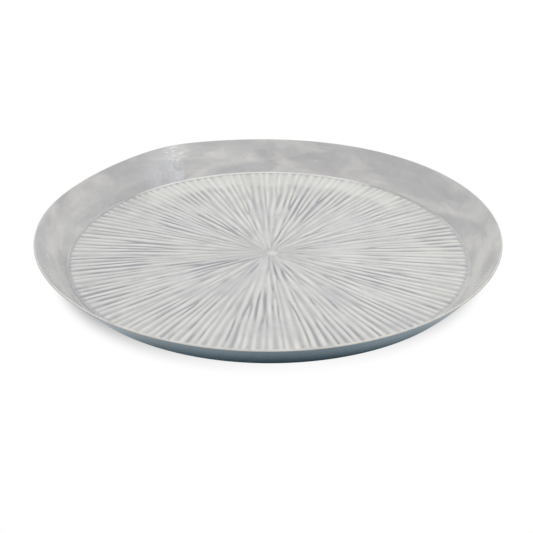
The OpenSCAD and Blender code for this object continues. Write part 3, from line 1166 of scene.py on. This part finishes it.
disc_points = [[[*DOME_AT, floor_z + DOME_H]]]
kept = {"crest": [[DOME_TONE]], "worn": [[0.0]], "wash_and_shade": [[0.0]], "smear": [[0.0]]}
ring_list = np.concatenate([np.linspace(low, high, count + 1)[1:] for low, high, count in RING_STRETCHES])
for ring in ring_list:
    x, y, radius = ring_points(ring)
    crest, near_crest, from_middle, groove = ring_crests(ring, radius)
    worn = ring_worn(ring, x, y)
    smeared = ring_smears(ring, x, y)
    pool = ring_pool(ring, x, y)
    dome = np.sqrt(np.clip(1 - (radius / DOME_R) ** 2, 0, 1))
    relief = crest * (1 - WEAR_TAKES * np.maximum(worn, smeared))
    relief += POOL_FILLS * pool * np.clip(POOL_LEVEL - relief, 0, 1)
    height = np.maximum(relief, DOME_H * dome)
    disc_points.append(np.stack([x, y, floor_z + height], axis=1))
    wash_and_shade = ring_wash(ring, from_middle, groove) * (1 - POOL_HIDES_WASH * pool)
    wash_and_shade = np.maximum(wash_and_shade, ring_notch_shade(ring, from_middle, groove))
    # Crest tone, less the painted shade on one side and in the crease
    kept["crest"].append(np.maximum(crest_tone_with_shade(ring, crest, near_crest, pool), DOME_TONE * dome))
    kept["worn"].append(worn * (1 - POOL_HIDES_WEAR * pool))
    kept["wash_and_shade"].append(np.maximum(wash_and_shade, CREASE_SHADE_WASH * ring_crease_shade(ring)))
    kept["smear"].append(smeared)
print(f"{len(ring_list)} rings from the dome to the edge")

# %% [markdown]
# ## Closing the disc
# The disc gets its edge and its flat back, so it is a closed solid: rings between two poles, one on the dome
# and one under it. Between two rings each four points are split along the diagonal that follows the crests.
# The four numbers go on the mesh as point attributes, where the finish can read them.

# %% Join the rings
edge = disc_points[-1].copy()
edge[:, 2] = disc_low[2]
disc_points.append(edge)
disc_points.append([[*DOME_AT, disc_low[2]]])
for values in kept.values():
    values.append(np.zeros(ROUND_SAMPLES))
    values.append([0.0])

ring_count = len(disc_points) - 2
level = np.concatenate(kept["crest"])
here = np.arange(ROUND_SAMPLES)
following = (here + 1) % ROUND_SAMPLES
bottom = 1 + ring_count * ROUND_SAMPLES
faces = [[0, int(1 + a), int(1 + b)] for a, b in zip(here, following)]
for i in range(ring_count - 1):
    a = 1 + i * ROUND_SAMPLES + here
    b = 1 + i * ROUND_SAMPLES + following
    c = b + ROUND_SAMPLES
    d = a + ROUND_SAMPLES
    rising = (abs(level[a] - level[c]) < abs(level[b] - level[d]))[:, None]
    faces += np.where(rising, np.stack([a, d, c], 1), np.stack([a, d, b], 1)).tolist()
    faces += np.where(rising, np.stack([a, c, b], 1), np.stack([d, c, b], 1)).tolist()
last = bottom - ROUND_SAMPLES
faces += [[int(last + a), bottom, int(last + b)] for a, b in zip(here, following)]
fluted_floor = add_piece("fluted_floor", np.concatenate(disc_points), faces)
for name, values in kept.items():
    layer = fluted_floor.data.attributes.new(name, "FLOAT", "POINT")
    layer.data.foreach_set("value", np.concatenate(values).astype(np.float32))
print(f"floor mesh: {ring_count} rings, {len(faces)} faces")

# %% [markdown]
# ## The pearl floor finish
# On the floor the enamel was wiped while wet: the crests came out pale and the grooves kept a cool lilac
# wash. Where it was worn or smeared, the floor goes cloudy and flat. Ambient occlusion could darken the
# grooves, but the wash is pigment, so it is driven by the numbers kept with the relief. The same numbers also
# carry painted shade: in the notches, in the crease, and on one side of the floor.

# %% Pearl floor
# Fine streaks along the flutes: scale, detail and roughness of their noise, and how far they move the tone
STREAK_NOISE = (38.0, 2.0, 0.6)
STREAK_DEPTH = 0.14
GROOVE_TONES = ((0.505, 0.503, 0.500, 1), (0.55, 0.549, 0.543, 1))
CREST_TONES = ((0.66, 0.66, 0.633, 1), (0.725, 0.725, 0.690, 1))
# Levels between which the crest's tone, the pool's and the wash's set in
CREST_RANGE = (0.05, 0.85)
POOL_RANGE = (0.85, 1.4)
POOL_WHITE = (0.86, 0.86, 0.855, 1)
WASH_AND_SHADE_DEPTH = 0.8
WASH_AND_SHADE_RANGE = (-0.05, 0.62)
WASH_AND_SHADE_TONE = (0.318, 0.316, 0.352, 1)
WORN_TONES = ((0.565, 0.565, 0.57, 1), (0.645, 0.645, 0.635, 1))
WORN_SHARE = 0.7
SMEAR_TONES = ((0.463, 0.463, 0.480, 1), (0.535, 0.535, 0.543, 1))
SMEAR_SHARE = 0.8
FLOOR_DUST = (0.25, 0.25, 0.26, 1)
FLOOR_DUST_SHARE = 0.3
FLOOR_BUMP = (0.12, 0.0004)

pearl_floor, tree, shader, place = new_material("Pearl floor", IOR=1.5)
skin = use_group(tree, enamel_skin, Place=place, Peel_Scale=500.0, Smoothest=0.3, Roughest=0.45)
clouds = use_group(tree, pearl_clouds, Place=place, Cloud_Scale=22.0, Swirl=1.2)
# The crest number is lowered by painted shade on one side and in the crease
crest = point_value(tree, "crest")
from_fan = vector_math(tree, "SUBTRACT", place, (*(FAN_AT * MM), 0.0))
flat_way = vector_math(tree, "MULTIPLY", from_fan, LEVEL)
fan = vector_math(tree, "ADD", vector_math(tree, "NORMALIZE", flat_way), flat_way)
streak = noise_value(tree, fan, *STREAK_NOISE)
streaked = calculate(tree, "ADD", crest, remap(tree, streak, *NOISE_RANGE, -STREAK_DEPTH, STREAK_DEPTH))
# The wash number also holds the painted shade of the notches and the crease
deep_wash_and_shade = calculate(tree, "MULTIPLY", point_value(tree, "wash_and_shade"), WASH_AND_SHADE_DEPTH)
filled = calculate(tree, "SUBTRACT", deep_wash_and_shade, crest)
groove_colour = mix_colours(tree, clouds["Veil"], *GROOVE_TONES)
crest_colour = mix_colours(tree, clouds["Cloud"], *CREST_TONES)
worn_colour = mix_colours(tree, clouds["Veil"], *WORN_TONES)
smear_colour = mix_colours(tree, clouds["Veil"], *SMEAR_TONES)
finish = mix_colours(tree, remap(tree, streaked, *CREST_RANGE), groove_colour, crest_colour)
finish = mix_colours(tree, remap(tree, streaked, *POOL_RANGE), finish, POOL_WHITE)
finish = mix_colours(tree, remap(tree, filled, *WASH_AND_SHADE_RANGE), finish, WASH_AND_SHADE_TONE)
finish = lay_over(tree, finish, point_value(tree, "worn"), WORN_SHARE, worn_colour)
finish = lay_over(tree, finish, point_value(tree, "smear"), SMEAR_SHARE, smear_colour)
finish = lay_over(tree, finish, skin["Speck"], FLOOR_DUST_SHARE, FLOOR_DUST)
coat(tree, shader, finish, skin["Roughness"], skin["Height"], *FLOOR_BUMP)
dress(fluted_floor, "sunburst_disc", pearl_floor)

# %% [markdown]
# ## The bond film
# The disc is held by a film of clear adhesive that nobody sees once the tray is closed. The CAD solid has
# the right shape already, so it stays and only gets a finish: cloudy, with small trapped bubbles.

# %% Bond film
HAZE_NOISE = (60.0, 4.0)
MILKY_TONES = ((0.74, 0.74, 0.70, 1), (0.90, 0.90, 0.87, 1))
FILM_ROUGHNESS = (0.2, 0.35)
BUBBLE_SCALE = 260.0
BUBBLE_SIZE = (0.1, 0.2)
BUBBLE_SHARE = 0.5
BUBBLE_TONE = (0.95, 0.95, 0.94, 1)

adhesive, tree, shader, place = new_material("Adhesive", IOR=1.47)
bubbles = add_node(tree, "ShaderNodeTexVoronoi", {"Vector": place, "Scale": BUBBLE_SCALE}).outputs["Distance"]
film_haze = noise_value(tree, place, *HAZE_NOISE)
milky = mix_colours(tree, film_haze, *MILKY_TONES)
milky = mix_colours(tree, remap(tree, bubbles, *BUBBLE_SIZE, BUBBLE_SHARE, 0.0), milky, BUBBLE_TONE)
coat(tree, shader, milky, remap(tree, film_haze, *NOISE_RANGE, *FILM_ROUGHNESS))
bond_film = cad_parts["bond_film"]
bond_film.data.materials.clear()
bond_film.data.materials.append(adhesive)
print("bond_film keeps its CAD shape")

# %% [markdown]
# ## The grip pads
# Four small silicone pads keep the tray from sliding. They are pressed discs with a softened edge, frosted
# from the mould. Each is turned from the size of its pad in the frame, with a rounded lower edge, and set
# where that pad is.

# %% Grip pads
PADS = 4
PAD_EDGE = 0.6
EDGE_STEPS = 6
PAD_TURN_STEPS = 96
FROST_NOISE = (900.0, 3.0)
SMUDGE_NOISE = (180.0, 3.0)
SILICONE_TONES = ((0.62, 0.63, 0.64, 1), (0.78, 0.79, 0.80, 1))
PAD_ROUGHNESS = (0.45, 0.65)
PAD_BUMP = (0.2, 0.0002)

pad_silicone, tree, shader, place = new_material("Pad silicone", IOR=1.41, Subsurface_Weight=0.15)
frost = noise_value(tree, place, *FROST_NOISE)
silicone = mix_colours(tree, noise_value(tree, place, *SMUDGE_NOISE), *SILICONE_TONES)
coat(tree, shader, silicone, remap(tree, frost, *NOISE_RANGE, *PAD_ROUGHNESS), frost, *PAD_BUMP)

edge_turns = [(i / EDGE_STEPS) * math.pi / 2 for i in range(EDGE_STEPS + 1)]
for number in range(1, PADS + 1):
    pad_low, pad_high = box_mm(f"foot_pad_{number}")
    middle = (pad_low + pad_high) / 2
    pad_r = (pad_high[0] - pad_low[0]) / 2
    pad_h = pad_high[2] - pad_low[2]
    low_edge = [(pad_r - PAD_EDGE * (1 - math.sin(a)), PAD_EDGE * (1 - math.cos(a))) for a in edge_turns]
    points, faces = turn([(0, 0)] + low_edge + [(pad_r, pad_h), (0, pad_h)], PAD_TURN_STEPS)
    points += [middle[0], middle[1], pad_low[2]]
    pad = add_piece(f"grip_pad_{number}", points, faces)
    dress(pad, f"foot_pad_{number}", pad_silicone)

# %% [markdown]
# ## The table
# The tray stands on a white table that runs out of sight. It is a plain plane, and not part of the object, so
# it is declared as stage.

# %% White table
TABLE_HALF = 4.0

table_mesh = bpy.data.meshes.new("table")
corners = [(x * TABLE_HALF, y * TABLE_HALF, 0) for x, y in ((-1, -1), (1, -1), (1, 1), (-1, 1))]
table_mesh.from_pydata(corners, [], [(0, 1, 2, 3)])
table = bpy.data.objects.new("table", table_mesh)
bpy.context.collection.objects.link(table)
table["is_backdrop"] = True
print(f"table {2 * TABLE_HALF:.0f} m square")

# %% [markdown]
# ## The table's finish
# The tray itself is lit by the table's true colour. To the camera the table shows as in a white photograph:
# mostly glowing, so that only a breath of the shadow is left around the foot, and least of it at the front.
# Mirrored in the lacquer it shows a painted shadow: it glows dark and cool close to the foot, paler further
# out, and darker at the sides. It is open under the tray and clear from below, so the underside can be looked
# at.

# %% Table finish
TABLE_WHITE = (0.95, 0.92, 0.925, 1)
PURE_WHITE = (1, 1, 1, 1)
# Below this radius in metres the table is open, hidden under the tray
OPEN_R = 0.150
# The shadow fades between these radii. It is least at the front and grows to the sides and the back
SHADOW_RADII = (0.160, 0.181)
SHADOW_LEAST = 0.08
SHADOW_ASIDE = 1.15
SHADOW_MOST = 0.9
FRONT_TURN = math.radians(8)
FRONT = (math.sin(FRONT_TURN), -math.cos(FRONT_TURN), 0.0)
# Mirrored, the table glows with a painted shadow: dark below the first radius and pale beyond the second, and
# nearer in at the sides
MIRRORED_SHADOW_RADII = (0.1615, 0.187)
MIRRORED_SHIFT = 0.042
MIRRORED_SHADOW_DARKEST = 0.02
MIRRORED_SHADOW_TINT = (0.66, 0.86, 1.0, 1)
MIRRORED_PALE = (0.85, 0.945, 1.0, 1)
# At the sides the mirrored table's painted shadow leaves this share of its brightness
MIRRORED_SHADE = 0.6
SHADED_ASIDE = 0.22

white_table, tree, shader, place = new_material("White table", Roughness=1.0, Specular_IOR_Level=0.0)
shader.inputs["Base Color"].default_value = TABLE_WHITE
path = add_node(tree, "ShaderNodeLightPath").outputs
mirrored = calculate(tree, "MAXIMUM", path["Is Glossy Ray"], path["Is Transmission Ray"])
radius = vector_math(tree, "LENGTH", place)
ahead = vector_math(tree, "DOT_PRODUCT", vector_math(tree, "NORMALIZE", place), FRONT)
aside = calculate(tree, "SUBTRACT", 1.0, ahead)
close = remap(tree, radius, *SHADOW_RADII, 1.0, 0.0)
depth = calculate(tree, "ADD", calculate(tree, "MULTIPLY", aside, SHADOW_ASIDE), SHADOW_LEAST)
depth = calculate(tree, "MULTIPLY", close, calculate(tree, "MINIMUM", depth, SHADOW_MOST))
to_camera = calculate(tree, "MULTIPLY", path["Is Camera Ray"], calculate(tree, "SUBTRACT", 1.0, depth))
# Painted shadow for mirror rays: the table glows dark and cool near the foot
further = calculate(tree, "ADD", radius, calculate(tree, "MULTIPLY", aside, MIRRORED_SHIFT))
mirrored_shadow_ramp = remap(tree, further, *MIRRORED_SHADOW_RADII, MIRRORED_SHADOW_DARKEST, 1.0)
tint = mix_colours(tree, mirrored_shadow_ramp, MIRRORED_SHADOW_TINT, MIRRORED_PALE)
tint = mix_colours(tree, path["Is Camera Ray"], tint, PURE_WHITE)
side_shade = remap(tree, aside, 0.0, SHADED_ASIDE, 1.0, MIRRORED_SHADE)
shaded = calculate(tree, "MULTIPLY", mirrored_shadow_ramp, side_shade)
brightness = calculate(tree, "MAXIMUM", path["Is Camera Ray"], shaded)
glow = add_node(tree, "ShaderNodeEmission", {"Color": tint, "Strength": brightness})
glowing = calculate(tree, "MAXIMUM", to_camera, mirrored)
seen = add_node(tree, "ShaderNodeMixShader", {0: glowing, 1: shader.outputs[0], 2: glow.outputs[0]})
back = add_node(tree, "ShaderNodeNewGeometry").outputs["Backfacing"]
unseen = calculate(tree, "MAXIMUM", back, calculate(tree, "LESS_THAN", radius, OPEN_R))
clear = add_node(tree, "ShaderNodeBsdfTransparent")
surface = add_node(tree, "ShaderNodeMixShader", {0: unseen, 1: seen.outputs[0], 2: clear.outputs[0]})
join(tree, surface.outputs[0], tree.nodes["Material Output"].inputs["Surface"])
table.data.materials.append(white_table)
print(f"table finish: shadow from {SHADOW_RADII[0]} to {SHADOW_RADII[1]} m")

# %% [markdown]
# ## Soft light
# The tray is lit as in a light tent: white from all sides, and a touch more from nearly overhead. The tent is
# the world itself, and one large lamp gives the direction. Both are kept at a level where a colour renders
# about as it is written.

# %% Tent and lamp
TENT_STRENGTH = 0.9
LAMP_POWER = 2.7
LAMP_SIZE = 1.2
LAMP_PLACE = Vector((0.18, 0.1, 1.25))

world = bpy.data.worlds.new("Light tent")
bpy.context.scene.world = world
world.use_nodes = True
tree = world.node_tree
path = add_node(tree, "ShaderNodeLightPath").outputs
looked_at = calculate(tree, "MAXIMUM", path["Is Camera Ray"], path["Is Glossy Ray"])
looked_at = calculate(tree, "MAXIMUM", looked_at, path["Is Transmission Ray"])
background = tree.nodes["Background"]
background.inputs["Color"].default_value = PURE_WHITE
join(tree, remap(tree, looked_at, 0.0, 1.0, TENT_STRENGTH, 1.0), background.inputs["Strength"])

lamp_data = bpy.data.lights.new("soft_lamp", "AREA")
lamp_data.energy = LAMP_POWER
lamp_data.size = LAMP_SIZE
lamp = bpy.data.objects.new("soft_lamp", lamp_data)
lamp.location = LAMP_PLACE
lamp.rotation_euler = (-LAMP_PLACE).to_track_quat("-Z", "Y").to_euler()
bpy.context.collection.objects.link(lamp)
bpy.context.scene.view_settings.view_transform = "Standard"
print(f"tent {TENT_STRENGTH}, lamp {LAMP_POWER} W at {LAMP_PLACE.length:.2f} m")

# %% [markdown]
# ## The camera
# The viewpoint is that of the photograph: a long lens from the front, looking down at about 28 degrees. It
# was found by fitting a pinhole camera to the ellipses of the rim and the floor. The tray sits slightly
# above the middle of the picture, so the camera aims at a point just below the tray's own centre.

# %% Camera
IMAGE_PX = 533
SENSOR_MM = 36.0
FOCAL_PX = 1377.6
CAMERA_DISTANCE = 1.14
CAMERA_ELEVATION = math.radians(27.77)
RIGHT_PX = 1.5
ABOVE_PX = 9.0

camera_data = bpy.data.cameras.new("photo_camera")
camera_data.sensor_width = SENSOR_MM
camera_data.lens = FOCAL_PX / IMAGE_PX * SENSOR_MM
camera = bpy.data.objects.new("photo_camera", camera_data)
bpy.context.collection.objects.link(camera)
backward = Vector((0, -math.cos(CAMERA_ELEVATION), math.sin(CAMERA_ELEVATION)))
upward = Vector((0, math.sin(CAMERA_ELEVATION), math.cos(CAMERA_ELEVATION)))
base_centre = Vector((0, 0, base_z * MM))
per_px = CAMERA_DISTANCE / FOCAL_PX
aim = base_centre - Vector((RIGHT_PX * per_px, 0, 0)) - upward * ABOVE_PX * per_px
camera.location = base_centre + backward * CAMERA_DISTANCE
camera.rotation_euler = (aim - camera.location).to_track_quat("-Z", "Y").to_euler()
bpy.context.scene.camera = camera
print(f"camera {camera_data.lens:.1f} mm at {CAMERA_DISTANCE} m")

# %% [markdown]
# ## The sizes
# The boxes of the CAD model and of the dressed model are printed, in millimetres.

# %% Sizes
visual_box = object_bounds()
sizes = {"cad": [list(corner) for corner in cad_box], "visual": [list(corner) for corner in visual_box]}
for name, (low, high) in sizes.items():
    print(name, "box in mm:", [round((b - a) / MM, 2) for a, b in zip(low, high)])
